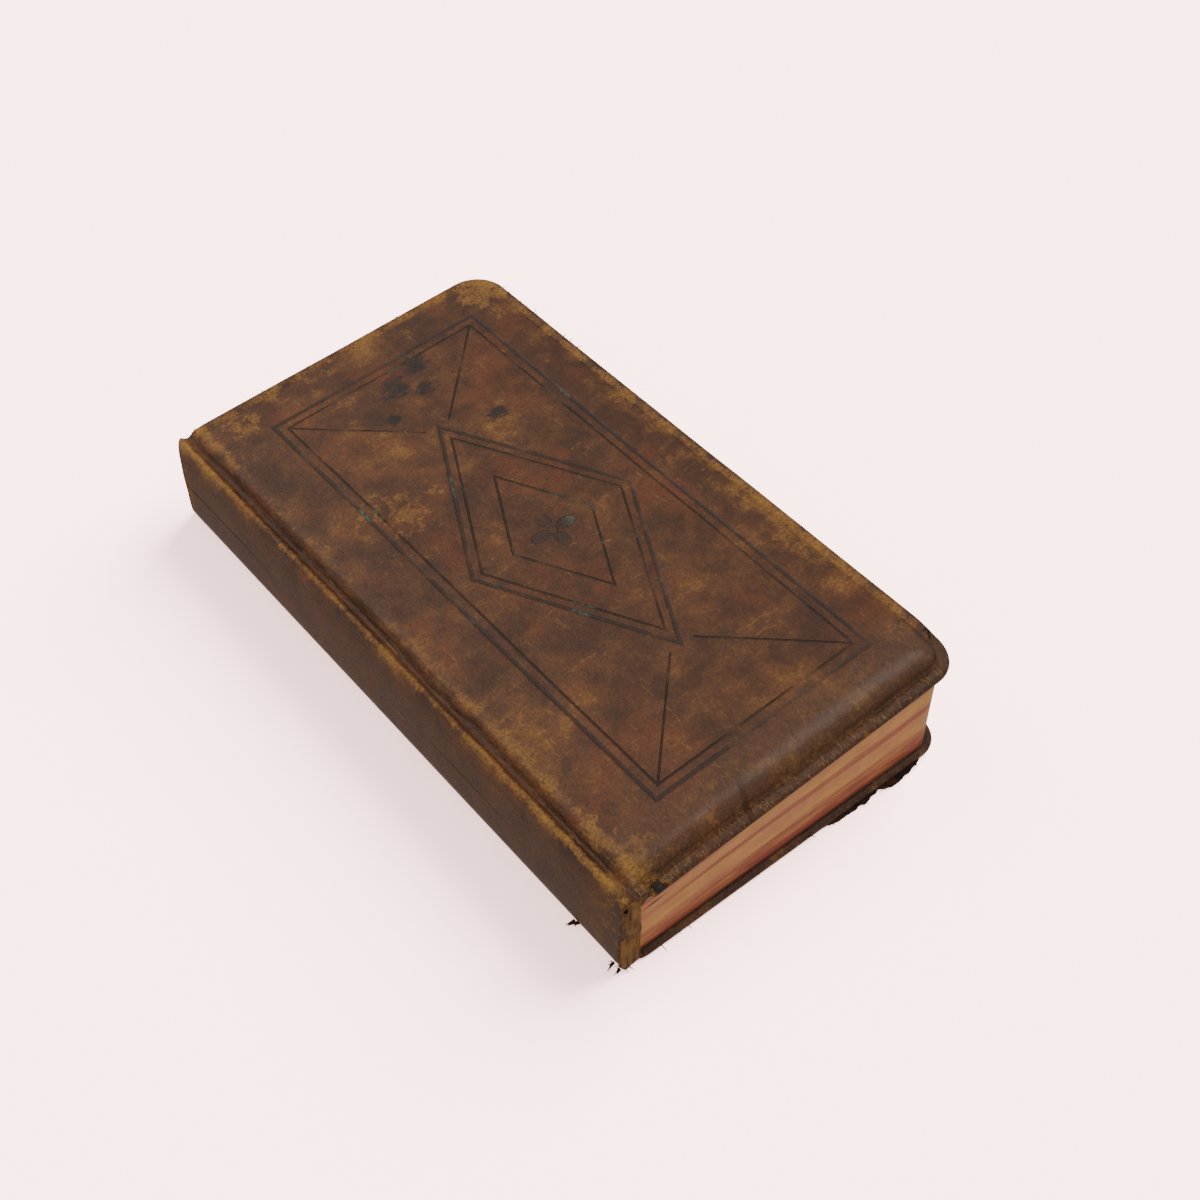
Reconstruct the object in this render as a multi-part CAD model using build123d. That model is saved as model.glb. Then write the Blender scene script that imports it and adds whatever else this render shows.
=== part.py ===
"""Antique leather book, a padded limp binding, lying closed on its back cover.

Units are millimetres.  +X runs from the spine to the fore edge, +Y from tail to head and +Z up.
The book is drawn from the fullest point of its spine (x = 0) and from half its height (y = 0),
then moved so that the origin is the middle of its footprint on the table.
"""
import os
from math import radians, sqrt, tan

from build123d import *

# ---- the whole book ---------------------------------------------------------------------------
BOOK_WIDTH = 98.0          # fullest point of the spine to the fore edge of the covers
BOOK_HEIGHT = 178.0        # tail to head, over the covers
COVER_SPLAY = 3.65         # degrees by which the swollen leaves hold the front cover up
PAGES_AT_JOINT = 18.0      # thickness of the leaves beside the joint

# ---- covers -----------------------------------------------------------------------------------
FRONT_THICK = 6.0          # padded front cover, inner face to crown
FRONT_LIP = 2.3            # flat rim round the front cover's padding
BACK_THICK = 2.7           # back cover, which has no padding
JOINT_X = 6.6              # edge of both covers beside the spine
HEAD_CORNER = 9.5          # radius of the fore corner at the head
TAIL_CORNER = 8.0          # radius of the fore corner at the tail
JOINT_CORNER = 1.2         # radius of the corners beside the spine
CROWN_CORNER = 4.0         # least radius of a fore corner further in
RIM_WIDTH = 2.4            # width of the flat rim
DOME_RUN = 9.6             # distance over which the padding rises to its crown
JOINT_RUN = 4.4            # the same along the joint
LIP_ROUND = 0.5            # rounding of the rim's edges
DOME_STEPS = (0.0, 0.06, 0.2, 0.45, 0.75, 1.0)

# ---- layers -----------------------------------------------------------------------------------
LEATHER = 0.65             # leather, also where it is turned in
TURN_IN = 12.0             # width of the turned-in leather and of the cloth flange
LEAF = 0.2                 # endpapers
PASTE_MARGIN = 3.0         # turned-in leather left bare round a pastedown
SOFT_GAP = 0.1             # air between a soft layer and its neighbour
LEAF_AIR = 0.1             # air between a pastedown and the free endpaper

# ---- leaves -----------------------------------------------------------------------------------
FORE_SQUARE = 2.0          # overhang of the covers at the fore edge
TAIL_SQUARE = 1.3          # overhang of the covers at tail and head

# ---- spine ------------------------------------------------------------------------------------
RIDGE_X = 2.2              # middle of the two backed shoulders
RIDGE_TOP = 24.5
RIDGE_BASE = 1.6
RIDGE_RADIUS = 1.5         # over the leather
SHOULDER_ROOT = 4.0        # depth of the shoulders' flare into the leaves
FLOOR_END = 6.2            # end of the leather in the joint grooves
SPINE_INSET = 0.2          # spine leather short of the covers at tail and head
CAP_THICK = 0.8            # leather folded over the ends of the spine
CAP_WIDTH = 4.4            # how far it reaches from the fullest point
INLAY = 0.5                # card strip behind the spine leather
TUBE_WALL = 0.2            # paper of the hollow back
TUBE_BORE = 0.2            # air inside the hollow back
MULL = 0.2                 # cloth glued to the folded sections
TAPE_THICK = 0.35
TAPE_WIDTH = 12.0
TAPE_PITCH = 54.0
TAPE_COUNT = 3
STRIP_STEP = 0.5           # each layer of the spine ends this much short of the last

HALF_HEIGHT = BOOK_HEIGHT / 2
COVER_WIDTH = BOOK_WIDTH - JOINT_X
BLOCK_BASE = BACK_THICK + LEAF_AIR + LEAF
SPINE_MID = (RIDGE_TOP + RIDGE_BASE) / 2
HALF_SPINE = (RIDGE_TOP - RIDGE_BASE) / 2
SPINE_BULGE = RIDGE_X - RIDGE_RADIUS
SPINE_RADIUS = (HALF_SPINE**2 + SPINE_BULGE**2) / (2 * SPINE_BULGE)
SLOPE = tan(radians(COVER_SPLAY))

# depths from the outside of the spine, each layer under the last
INLAY_TOP = LEATHER + SOFT_GAP
TUBE_TOP = INLAY_TOP + INLAY
TUBE_BOTTOM = TUBE_TOP + 2 * TUBE_WALL + TUBE_BORE
MULL_TOP = TUBE_BOTTOM
BACK_OF_LEAVES = MULL_TOP + MULL


def top_of_leaves(x):
    """Height of the uppermost page at x."""
    return BLOCK_BASE + PAGES_AT_JOINT + SLOPE * (x - JOINT_X)


def back_x(z, depth):
    """Where the rounded back is at height z, at a depth below the leather."""
    return SPINE_RADIUS - sqrt((SPINE_RADIUS - depth) ** 2 - (z - SPINE_MID) ** 2)


def plan(x0, x1, y0, y1, near_r, tail_r, head_r):
    """Rectangle with its own radius at the joint, fore-tail and fore-head corners."""
    corners = [(x0, y0, near_r), (x1, y0, tail_r), (x1, y1, head_r), (x0, y1, near_r)]
    face = make_face(Polyline(*[(x, y) for x, y, _ in corners], close=True))
    for x, y, radius in corners:
        vertex = face.vertices().sort_by_distance((x, y, 0))[0]
        face = fillet(vertex, radius)
    return face


def cover_plan(inset, joint_inset):
    """Outline of a cover, drawn in on its three free sides and along the joint."""
    return plan(
        joint_inset,
        COVER_WIDTH - inset,
        inset - HALF_HEIGHT,
        HALF_HEIGHT - inset,
        JOINT_CORNER,
        max(TAIL_CORNER - inset, CROWN_CORNER),
        max(HEAD_CORNER - inset, CROWN_CORNER),
    )


def layered(levels):
    """Solid through cover outlines, each given as height, inset and inset along the joint."""
    return loft([Pos(0, 0, z) * cover_plan(inset, near) for z, inset, near in levels], ruled=True)


def dome(base, crown, inset, near):
    """Pillow that rises from base to crown along a quarter of an ellipse."""
    levels = []
    for step in DOME_STEPS:
        rise = sqrt(1 - (1 - step) ** 2)
        levels.append((base + (crown - base) * rise, inset + DOME_RUN * step, near + JOINT_RUN * step))
    return layered(levels)


def slab(z0, z1, inset, near):
    """Flat layer of a cover."""
    return Pos(0, 0, z0) * extrude(cover_plan(inset, near), z1 - z0)


def flange(grow=0.0):
    """Cloth flange, with the tape ends, glued to the board beside the joint."""
    half = HALF_HEIGHT - TURN_IN - SOFT_GAP + grow
    outline = plan(LIP_ROUND - grow, TURN_IN + grow, -half, half, LIP_ROUND, LIP_ROUND, LIP_ROUND)
    return Pos(0, 0, LEAF - grow) * extrude(outline, LEATHER - SOFT_GAP + 2 * grow)


def board(lip, grow=0.0):
    """Board of a cover, rebated on its inner face for the turned-in leather and the flange."""
    top = lip - LEATHER - SOFT_GAP + grow
    rim = LEATHER + SOFT_GAP - grow
    plate = slab(LEAF + LEATHER + SOFT_GAP - grow, top, rim, rim)
    middle = TURN_IN + 2 * SOFT_GAP - grow
    return plate + slab(LEAF - grow, top, middle, middle)


def padding(grow=0.0):
    """Soft filling between the front board and its leather."""
    skin = LEATHER + SOFT_GAP - grow
    return dome(FRONT_LIP - skin, FRONT_THICK - skin, RIM_WIDTH + skin, LIP_ROUND + skin)


def skin(lip, domed):
    """Leather drawn over a board, its edges turned in."""
    rounded = [
        (LEAF, LIP_ROUND, LIP_ROUND),
        (LEAF + LIP_ROUND, 0, 0),
        (lip - LIP_ROUND, 0, 0),
        (lip, LIP_ROUND, LIP_ROUND),
    ]
    outside = layered(rounded)
    if domed:
        buried = FRONT_LIP - LEATHER / 2
        outside += dome(FRONT_LIP, FRONT_THICK, RIM_WIDTH, LIP_ROUND) + slab(
            buried, FRONT_LIP, RIM_WIDTH, LIP_ROUND
        )
        outside -= padding(SOFT_GAP)
    return outside - board(lip, SOFT_GAP) - flange(SOFT_GAP)


def pastedown():
    """Endpaper pasted to the inside of a cover."""
    return slab(0, LEAF - SOFT_GAP / 2, PASTE_MARGIN, LIP_ROUND)


def box(x0, x1, z0, z1):
    """Rectangle of a cross-section."""
    return Pos((x0 + x1) / 2, (z0 + z1) / 2) * Rectangle(x1 - x0, z1 - z0)


def along(section, y0, y1):
    """Cross-section drawn in x and z, run from y0 to y1."""
    return Pos(0, y1, 0) * extrude(Plane.XZ * section, y1 - y0)


def arc_disc(depth):
    """Disc whose left side is the rounded back at a depth below the leather."""
    return Pos(SPINE_RADIUS, SPINE_MID) * Circle(SPINE_RADIUS - depth)


def strip(depth0, depth1, short):
    """Curved layer of the spine between two depths, its long edges short of the shoulders."""
    window = box(-RIDGE_X, JOINT_X, RIDGE_BASE + short, RIDGE_TOP - short)
    return (arc_disc(depth0) - arc_disc(depth1)) & window


def spine_core(depth):
    """Filled cross-section of the spine at a depth below the leather's outside."""
    radius = RIDGE_RADIUS - depth
    core = arc_disc(depth) & box(-RIDGE_X, RIDGE_X + radius, RIDGE_BASE, RIDGE_TOP)
    for z in (RIDGE_BASE, RIDGE_TOP):
        core += Pos(RIDGE_X, z) * Circle(radius)
    return core


def spine_leather():
    """Leather round the back, over both shoulders and down into the joint grooves."""
    wall = RIDGE_X + RIDGE_RADIUS
    upper = top_of_leaves(JOINT_X) + LEAF + 2 * SOFT_GAP
    lower = BLOCK_BASE - LEAF - SOFT_GAP
    band = spine_core(0) - spine_core(LEATHER) - box(RIDGE_X, wall, lower, upper)
    band += box(wall - LEATHER, FLOOR_END, upper, upper + LEATHER)
    band += box(wall - LEATHER, FLOOR_END, lower - LEATHER, lower)
    end = HALF_HEIGHT - SPINE_INSET
    leather = along(band, -end, end)
    cap = spine_core(0) & box(-RIDGE_X, CAP_WIDTH, 0, RIDGE_TOP + RIDGE_RADIUS)
    for y in (-end, end - CAP_THICK):
        leather += along(cap, y, y + CAP_THICK)
    return leather


def tapes(grow=0.0):
    """Tapes that the sections are sewn over."""
    middle = TAPE_PITCH * (TAPE_COUNT - 1) / 2
    section = strip(BACK_OF_LEAVES, BACK_OF_LEAVES + TAPE_THICK + grow, SHOULDER_ROOT + STRIP_STEP - grow)
    half = TAPE_WIDTH / 2 + grow
    rows = [n * TAPE_PITCH - middle for n in range(TAPE_COUNT)]
    return Part() + [along(section, y - half, y + half) for y in rows]


def leaf_trim():
    """Prism that gives the leaves and the endpapers their rounded fore corners."""
    fore = BOOK_WIDTH - FORE_SQUARE
    half = HALF_HEIGHT - TAIL_SQUARE
    tail_r = TAIL_CORNER - TAIL_SQUARE
    head_r = HEAD_CORNER - TAIL_SQUARE
    outline = plan(-RIDGE_X, fore, -half, half, JOINT_CORNER, tail_r, head_r)
    return extrude(outline, BOOK_WIDTH)


def leaves():
    """Text block: the leaves in one solid, with backed shoulders and rounded fore corners."""
    fore = BOOK_WIDTH - FORE_SQUARE
    outline = Polyline(
        (0, BLOCK_BASE), (fore, BLOCK_BASE), (fore, top_of_leaves(fore)), (0, top_of_leaves(0)), close=True
    )
    section = make_face(outline) & arc_disc(BACK_OF_LEAVES)
    tip = RIDGE_RADIUS - LEATHER - SOFT_GAP
    for z, foot in ((RIDGE_BASE, RIDGE_BASE + SHOULDER_ROOT), (RIDGE_TOP, RIDGE_TOP - SHOULDER_ROOT)):
        root = back_x(foot, BACK_OF_LEAVES)
        flare = Polyline((RIDGE_X - tip, z), (RIDGE_X + tip, z), (RIDGE_X + tip, foot), (root, foot), close=True)
        section += make_face(flare) + Pos(RIDGE_X, z) * Circle(tip)
    half = HALF_HEIGHT - TAIL_SQUARE
    block = along(section, -half, half)
    return (block - tapes(SOFT_GAP)) & leaf_trim()


def flyleaf(lift):
    """Free endpaper, lying on the leaves or under them."""
    fore = BOOK_WIDTH - FORE_SQUARE
    near = RIDGE_X + RIDGE_RADIUS
    half = HALF_HEIGHT - TAIL_SQUARE
    if lift:
        low = [(near, top_of_leaves(near)), (fore, top_of_leaves(fore))]
    else:
        low = [(near, BLOCK_BASE - LEAF), (fore, BLOCK_BASE - LEAF)]
    high = [(x, z + LEAF) for x, z in reversed(low)]
    sheet = along(make_face(Polyline(*low, *high, close=True)), -half, half)
    return sheet & leaf_trim()


def on_front(shape):
    """Seat a cover layer on the leaves, splayed."""
    seat = top_of_leaves(JOINT_X) + LEAF + LEAF_AIR
    return Pos(JOINT_X, 0, seat) * Rot(0, -COVER_SPLAY, 0) * shape


def on_back(shape):
    """Seat a cover layer under the leaves, its outer face down."""
    return Pos(JOINT_X, 0, BACK_THICK) * mirror(shape, about=Plane.XY)


tube_depth = TUBE_TOP + TUBE_WALL
tube_section = strip(TUBE_TOP, TUBE_BOTTOM, SHOULDER_ROOT + STRIP_STEP) - strip(
    tube_depth, tube_depth + TUBE_BORE, SHOULDER_ROOT + 2 * STRIP_STEP
)
spine_end = HALF_HEIGHT - SPINE_INSET - CAP_THICK - SOFT_GAP
leaf_end = HALF_HEIGHT - TAIL_SQUARE

nodes = {
    "text_block": leaves(),
    "front_flyleaf": flyleaf(True),
    "back_flyleaf": flyleaf(False),
    "sewing_tapes": tapes(),
    "spine_mull": along(strip(MULL_TOP, BACK_OF_LEAVES, SHOULDER_ROOT + STRIP_STEP), -leaf_end, leaf_end),
    "spine_hollow": along(tube_section, -leaf_end, leaf_end),
    "spine_inlay": along(strip(INLAY_TOP, TUBE_TOP, RIDGE_RADIUS), -spine_end, spine_end),
    "spine_leather": spine_leather(),
    "front_pastedown": on_front(pastedown()),
    "front_mull_flange": on_front(flange()),
    "front_board": on_front(board(FRONT_LIP)),
    "front_padding": on_front(padding()),
    "front_leather": on_front(skin(FRONT_LIP, True)),
    "back_pastedown": on_back(pastedown()),
    "back_mull_flange": on_back(flange()),
    "back_board": on_back(board(BACK_THICK)),
    "back_leather": on_back(skin(BACK_THICK, False)),
}

os.makedirs("parts", exist_ok=True)
for name, shape in nodes.items():
    export_step(Pos(-BOOK_WIDTH / 2, 0, 0) * shape, f"parts/{name}.step")
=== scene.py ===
"""Looks of an antique padded leather book, built round its CAD frame."""
import math

import bpy
import numpy as np
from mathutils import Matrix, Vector


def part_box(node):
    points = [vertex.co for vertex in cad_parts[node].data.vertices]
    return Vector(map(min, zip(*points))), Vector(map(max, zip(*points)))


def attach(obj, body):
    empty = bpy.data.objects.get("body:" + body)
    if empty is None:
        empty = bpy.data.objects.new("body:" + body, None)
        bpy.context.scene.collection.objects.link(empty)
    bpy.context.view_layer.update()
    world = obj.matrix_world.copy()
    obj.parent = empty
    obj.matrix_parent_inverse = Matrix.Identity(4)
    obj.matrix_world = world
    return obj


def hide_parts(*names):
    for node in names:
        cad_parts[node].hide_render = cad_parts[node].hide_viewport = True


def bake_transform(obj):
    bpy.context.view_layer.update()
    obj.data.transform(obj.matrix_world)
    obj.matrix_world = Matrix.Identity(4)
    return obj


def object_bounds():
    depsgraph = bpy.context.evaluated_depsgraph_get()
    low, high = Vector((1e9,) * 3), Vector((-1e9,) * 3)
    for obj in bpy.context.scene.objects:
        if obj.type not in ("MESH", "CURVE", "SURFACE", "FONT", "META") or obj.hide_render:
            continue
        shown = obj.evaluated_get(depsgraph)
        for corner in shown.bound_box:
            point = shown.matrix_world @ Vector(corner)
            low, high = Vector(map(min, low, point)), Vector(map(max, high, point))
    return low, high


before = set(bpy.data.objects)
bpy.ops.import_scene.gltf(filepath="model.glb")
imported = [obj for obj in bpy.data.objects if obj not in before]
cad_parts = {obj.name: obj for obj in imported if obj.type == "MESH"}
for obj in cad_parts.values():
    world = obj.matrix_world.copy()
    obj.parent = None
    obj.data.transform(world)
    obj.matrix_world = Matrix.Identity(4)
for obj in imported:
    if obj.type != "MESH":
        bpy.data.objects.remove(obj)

bl_info = {
    "name": "Antique Leather Book",
    "version": (1, 0, 0),
    "blender": (4, 5, 0),
    "location": "View3D > Sidebar > Leather Book",
    "description": "Dresses a small padded leather book with worn leather, tooling and coloured page edges",
    "category": "Object",
}

MM = 0.001
CAD_LOW, CAD_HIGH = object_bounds()
HALF_W = (CAD_HIGH.x - CAD_LOW.x) / 2 / MM
HALF_H = (CAD_HIGH.y - CAD_LOW.y) / 2 / MM
SPINE_X = CAD_LOW.x / MM
PAGES_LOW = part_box("text_block")[0] / MM
BACK_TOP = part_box("back_pastedown")[1].z / MM
PASTE_LOW, PASTE_HIGH = (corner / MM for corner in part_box("front_pastedown"))
SLOPE = (PASTE_HIGH.z - PASTE_LOW.z) / (PASTE_HIGH.x - PASTE_LOW.x)

# Sizes of the leather, in millimetres.
TURN_IN = 5.0  # how far the leather is turned in over a cover's inner face
CAP = 2.6  # how far it is turned down at the ends of the spine
BARE_FOLD = 0.45  # radius of its folds where no board fills them
SPINE_RUN = 16.0  # how much of it, from the middle of the spine, isn't on the cover
JOINT_END = 11.0  # where the finer mesh of the spine and joint ends, in from the spine
RIM_CREASE, RIM_ROLL = 0.34, 0.20  # depth of the crease inside the rim, height of the rim's roll
HEAD_REACH, HEAD_DROP = 4.6, 2.6  # how far in, and how far down, the spine is rounded at its head

# Sizes of the linings, in millimetres.
PAPER_GAP, PAPER_LIFT = 0.04, 0.07  # between the leaves of a folded endpaper, and under the fold
WADDING_BASE, WADDING_LOFT = 1.7, 3.3  # height over the cover's inner face, and thickness
WADDING_CORNER = 10.0


# ---- settings ----


def length(name, what, value):
    return bpy.props.FloatProperty(
        name=name, description=what, default=value, min=0.0, max=1.0, unit="LENGTH", precision=5
    )


def strength(name, what, value, high):
    return bpy.props.FloatProperty(name=name, description=what, default=value, min=0.0, max=high)


def colour(name, what, value):
    return bpy.props.FloatVectorProperty(
        name=name, description=what, default=value, subtype="COLOR", size=3, min=0, max=1
    )


class BookSizes(bpy.types.PropertyGroup):
    """Sizes of the covering."""

    lip: length("Tail lip", "Thickness of the front cover where it rolls down at the tail", 0.0018)
    side: length("Side thickness", "Thickness of the front cover at its head and fore edge", 0.0050)
    crown: length("Cover thickness", "Padded front cover, inner face to crown", 0.0060)
    rim: length("Rim width", "Width of the flat rim round the padding", 0.0022)
    dome: length("Padding run", "Distance over which the padding rises to its crown at the tail", 0.0098)
    back: length("Back thickness", "Thickness of the back cover's edge", 0.0024)
    head_corner: length("Head corner", "Radius of the covers' fore corner at the head", 0.0095)
    tail_corner: length("Tail corner", "Radius of the covers' fore corner at the tail", 0.0072)
    sag: length("Unevenness", "How far the worn covers wander from flat", 0.00022)
    fray: length("Fray length", "Length of the longest frayed tuft", 0.0017)


class BookColours(bpy.types.PropertyGroup):
    """Colours of the leather, the tooling and the leaves."""

    # Dark leather is also painted as shade in the joint's groove; brown and rubbed leather also paint a
    # highlight where the front cover rolls down at the tail.
    dark: colour("Dark leather", "Leather where the dye is whole", (0.055, 0.0185, 0.0058))
    brown: colour("Brown leather", "Leather where the dye has thinned", (0.138, 0.050, 0.0130))
    ochre: colour("Rubbed leather", "Leather where the dye is rubbed off", (0.246, 0.110, 0.022))
    tan: colour("Worn edge", "Leather worn to the skin along its edges", (0.330, 0.168, 0.036))
    russet: colour("Russet leather", "Reddish patches in the dye", (0.155, 0.040, 0.0090))
    ink: colour("Stains", "Old dark stains", (0.012, 0.009, 0.008))
    tooled: colour("Tooled lines", "Bottom of the blind-tooled lines", (0.022, 0.015, 0.012))
    verdigris: colour("Residue", "Pale green residue in some tooled lines", (0.100, 0.190, 0.130))
    gilt: colour("Page edges", "Worn copper-coloured finish of the page edges", (0.660, 0.245, 0.100))
    rose: colour("Lower page edges", "Deeper red of the lower page edges", (0.300, 0.036, 0.016))
    streak: colour("Golden streaks", "Golden streaks left in the page edges", (0.700, 0.330, 0.070))
    paper: colour("Endpapers", "Paper of the pastedowns and free endpapers", (0.660, 0.470, 0.260))


class StageSettings(bpy.types.PropertyGroup):
    """Floor, light and camera."""

    floor: colour("Floor", "Colour of the plain floor", (0.900, 0.790, 0.775))
    glow: colour("Floor glow", "Soft even light of the floor itself", (1.000, 0.560, 0.530))
    glow_power: strength("Floor glow power", "Strength of the floor's own light", 1.9, 20.0)
    wash: strength("Floor wash", "Strength of the soft light on the floor alone", 21.0, 100.0)
    lens: bpy.props.FloatProperty(
        name="Focal length", description="Focal length in millimetres", default=53.04
    )
    key: bpy.props.FloatProperty(
        name="Key light", description="Power of the large overhead light", default=5.6, unit="POWER"
    )
    fill: strength("Fill light", "Strength of the light from all round", 0.62, 5.0)


# ---- shader expressions ----


class Sig:
    """A node socket that can be used in arithmetic."""

    def __init__(self, tree, socket):
        self.tree, self.socket = tree, socket

    def math(self, operation, *values):
        inputs = dict(enumerate(values))
        return self.tree.add("ShaderNodeMath", {"operation": operation}, inputs).out(0)

    def __add__(self, other):
        return self.math("ADD", self, other)

    def __sub__(self, other):
        return self.math("SUBTRACT", self, other)

    def __rsub__(self, other):
        return self.math("SUBTRACT", other, self)

    def __mul__(self, other):
        return self.math("MULTIPLY", self, other)

    def __truediv__(self, other):
        return self.math("DIVIDE", self, other)

    def __abs__(self):
        return self.math("ABSOLUTE", self)

    def __pow__(self, other):
        return self.math("POWER", self, other)

    __radd__ = __add__
    __rmul__ = __mul__

    def least(self, other):
        return self.math("MINIMUM", self, other)

    def most(self, other):
        return self.math("MAXIMUM", self, other)

    def sine(self):
        return self.math("SINE", self)

    def cosine(self):
        return self.math("COSINE", self)

    def rise(self, low, high):
        """0 below low, 1 above high and smooth between; falls instead where low is above high."""
        first, last = (0.0, 1.0) if low < high else (1.0, 0.0)
        inputs = {"Value": self, "From Min": min(low, high), "From Max": max(low, high)}
        inputs |= {"To Min": first, "To Max": last}
        settings = {"interpolation_type": "SMOOTHSTEP"}
        return self.tree.add("ShaderNodeMapRange", settings, inputs).out(0)

    def near(self, middle, reach):
        """1 at the middle value, falling to 0 at reach either side of it."""
        return abs(self - middle).rise(reach, 0.0)


class Added:
    """A node that has been added to a tree."""

    def __init__(self, tree, node):
        self.tree, self.node = tree, node

    def out(self, key):
        return Sig(self.tree, self.node.outputs[key])


class Finish:
    """A material and the expressions that make it."""

    def __init__(self, name, **constants):
        self.material = bpy.data.materials.new(name)
        self.material.use_nodes = True
        self.nodes = self.material.node_tree.nodes
        self.links = self.material.node_tree.links
        self.shader = self.nodes["Principled BSDF"]
        for key, value in constants.items():
            self.shader.inputs[key.replace("_", " ")].default_value = value

    def feed(self, socket, value):
        if isinstance(value, Sig):
            self.links.new(value.socket, socket)
        elif hasattr(value, "__len__") and len(value) == 3 and socket.type == "RGBA":
            socket.default_value = (*value, 1.0)
        else:
            socket.default_value = value

    def add(self, kind, settings=None, inputs=None):
        """Adds a node: its type, its settings, and the values or links of its sockets."""
        node = self.nodes.new(kind)
        for key, value in (settings or {}).items():
            setattr(node, key, value)
        for key, value in (inputs or {}).items():
            self.feed(node.inputs[key], value)
        return Added(self, node)

    def set(self, **values):
        """Links what varies over the surface to the shader."""
        for key, value in values.items():
            self.feed(self.shader.inputs[key.replace("_", " ")], value)

    def attribute(self, name):
        return self.add("ShaderNodeAttribute", {"attribute_name": name})

    def place(self):
        """Position on the closed book, in millimetres."""
        return self.attribute("rest").out("Vector")

    def cad_place(self):
        """Position in the frame, in millimetres, for a piece that keeps its shape from the CAD."""
        return self.stretch(self.add("ShaderNodeTexCoord").out("Object"), (1 / MM, 1 / MM, 1 / MM))

    def value(self, name):
        return self.attribute(name).out("Fac")

    def split(self, vector):
        node = self.add("ShaderNodeSeparateXYZ", None, {0: vector})
        return node.out(0), node.out(1), node.out(2)

    def join(self, x, y, z):
        return self.add("ShaderNodeCombineXYZ", None, {0: x, 1: y, 2: z}).out(0)

    def vector(self, operation, a, b):
        return self.add("ShaderNodeVectorMath", {"operation": operation}, {0: a, 1: b}).out(0)

    def stretch(self, where, by):
        """Place scaled along each axis, so that patterns on it run along the least scaled one."""
        return self.vector("MULTIPLY", where, by)

    def noise(self, where, size, detail, rough=0.55, twist=0.0, shift=None):
        """Cloudy value from 0 to 1 whose patches are about as many millimetres across as size."""
        if shift is not None:
            where = self.vector("ADD", where, shift)
        inputs = {"Vector": where, "Scale": 1.0 / size, "Detail": detail}
        inputs |= {"Roughness": rough, "Distortion": twist}
        return self.add("ShaderNodeTexNoise", None, inputs).out(0)

    def cells(self, where, size, smooth):
        """Pebbled value, least at the middle of each cell, with the walls between softened."""
        inputs = {"Vector": where, "Scale": 1.0 / size, "Smoothness": smooth}
        return self.add("ShaderNodeTexVoronoi", {"feature": "SMOOTH_F1"}, inputs).out("Distance")

    def mix(self, a, b, amount):
        """Colour a turning into colour b by amount."""
        return self.add("ShaderNodeMix", {"data_type": "RGBA"}, {0: amount, 6: a, 7: b}).out(2)

    def tint(self, a, value):
        """Colour a made lighter or darker by a value."""
        grey = self.join(value, value, value)
        settings = {"data_type": "RGBA", "blend_type": "MULTIPLY"}
        return self.add("ShaderNodeMix", settings, {0: 1.0, 6: a, 7: grey}).out(2)

    def spot(self, x, y, at, size, ragged):
        """1 at a place on the cover, falling to 0 at about size millimetres with a ragged outline."""
        away = ((x - at[0]) ** 2 + (y - at[1]) ** 2) ** 0.5
        return (away / size + (0.5 - ragged) * 4.0).rise(1.0, 0.35)

    def bump(self, height, depth, under=None):
        """Normal of a surface whose height varies by depth millimetres."""
        inputs = {"Height": height, "Distance": depth * MM, "Strength": 1.0}
        if under is not None:
            inputs["Normal"] = under
        return self.add("ShaderNodeBump", None, inputs).out(0)


# ---- mesh helpers ----


def smoothstep(low, high, x):
    t = np.clip((x - low) / (high - low), 0.0, 1.0)
    return t * t * (3 - 2 * t)


def lattice(points, seed):
    """Smooth repeatable noise from -1 to 1 at points given in lattice units."""
    p = np.asarray(points, float)
    cell = np.floor(p).astype(np.int64)
    f = p - cell
    f = f * f * (3 - 2 * f)
    total = np.zeros(len(p))
    for corner in range(8):
        step = np.array([corner & 1, corner >> 1 & 1, corner >> 2 & 1])
        c = cell + step
        h = (c[:, 0] * 73856093 ^ c[:, 1] * 19349663 ^ c[:, 2] * 83492791 ^ seed * 2654435761) & 0xFFFFFFFF
        h = ((h ^ h >> 13) * 1274126177) & 0xFFFFFFFF
        h = ((h ^ h >> 16) & 0xFFFF) / 32767.5 - 1
        weight = np.prod(np.where(step == 1, f, 1 - f), axis=1)
        total += weight * h
    return total


def wander(points, size, seed):
    """Noise in two layers over millimetre points, its largest waves size across."""
    points = np.asarray(points, float) / size
    return lattice(points, seed) + lattice(points * 2, seed + 1) / 2


def along(values, second=0.0, third=0.0):
    """Points for noise that varies with values, and with a second and third value if given."""
    return np.column_stack([values, values * 0 + second, values * 0 + third])


def placed(name, data, location=(0, 0, 0), aim=None):
    """Object added to the scene, looking along aim if it is given."""
    made = bpy.data.objects.new(name, data)
    made.location = location
    if aim is not None:
        made.rotation_euler = aim.to_track_quat("-Z", "Y").to_euler()
    bpy.context.scene.collection.objects.link(made)
    return made


def make_mesh(name, points, faces, material, values=None, smooth=True):
    """Mesh object from millimetre points, with named values on its points."""
    points = np.asarray(points, float)
    mesh = bpy.data.meshes.new(name)
    mesh.from_pydata((points * MM).tolist(), [], [list(map(int, f)) for f in faces])
    mesh.polygons.foreach_set("use_smooth", [smooth] * len(mesh.polygons))
    attribute = mesh.attributes.new("rest", "FLOAT_VECTOR", "POINT")
    attribute.data.foreach_set("vector", np.asarray(points, np.float32).ravel())
    for key, value in (values or {}).items():
        attribute = mesh.attributes.new(key, "FLOAT", "POINT")
        attribute.data.foreach_set("value", np.asarray(value, np.float32))
    mesh.materials.append(material)
    mesh.update()
    return placed(name, mesh)


def spaced(stops):
    """Positions along a line: stops are (from, to, step) runs that join end to end."""
    runs = []
    for low, high, step in stops:
        count = max(1, round((high - low) / step))
        runs.append(np.linspace(low, high, count + 1)[:-1])
    return np.append(np.concatenate(runs), stops[-1][1])


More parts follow.
